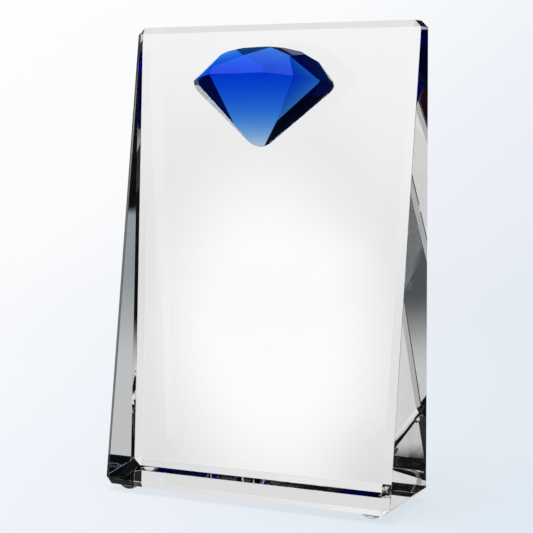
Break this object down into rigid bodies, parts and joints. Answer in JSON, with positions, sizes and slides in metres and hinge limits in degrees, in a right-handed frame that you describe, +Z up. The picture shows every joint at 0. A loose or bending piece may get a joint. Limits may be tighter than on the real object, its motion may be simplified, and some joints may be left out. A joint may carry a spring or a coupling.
{
  "type": "crystal award",
  "caption": "Clear glass wedge block with ground bevels, standing on dome bumper feet, with a blue flat-backed cut gem bonded to its sloping front face.",
  "frame": {"origin": "on the surface the feet rest on, under the middle of the block's footprint", "axes": "+Z up, +X to the right of a viewer in front, the sloping front face and its gem face -Y, the vertical back faces +Y"},
  "size_m": [0.12, 0.0416, 0.1802],
  "materials": {
    "clear_crystal": "polished optical crystal",
    "blue_glass": "polished blue glass fading to clear at the point",
    "clear_bond": "cured clear adhesive",
    "clear_bumper": "soft clear polyurethane",
    "tape_adhesive": "clear pressure-sensitive adhesive"
  },
  "bodies": {
    "root": {"crystal_block": "clear_crystal", "blue_gem": "blue_glass", "gem_adhesive": "clear_bond", "foot_front_left": "clear_bumper", "foot_adhesive_front_left": "tape_adhesive", "foot_front_right": "clear_bumper", "foot_adhesive_front_right": "tape_adhesive", "foot_back_left": "clear_bumper", "foot_adhesive_back_left": "tape_adhesive", "foot_back_right": "clear_bumper", "foot_adhesive_back_right": "tape_adhesive"}
  },
  "joints": []
}
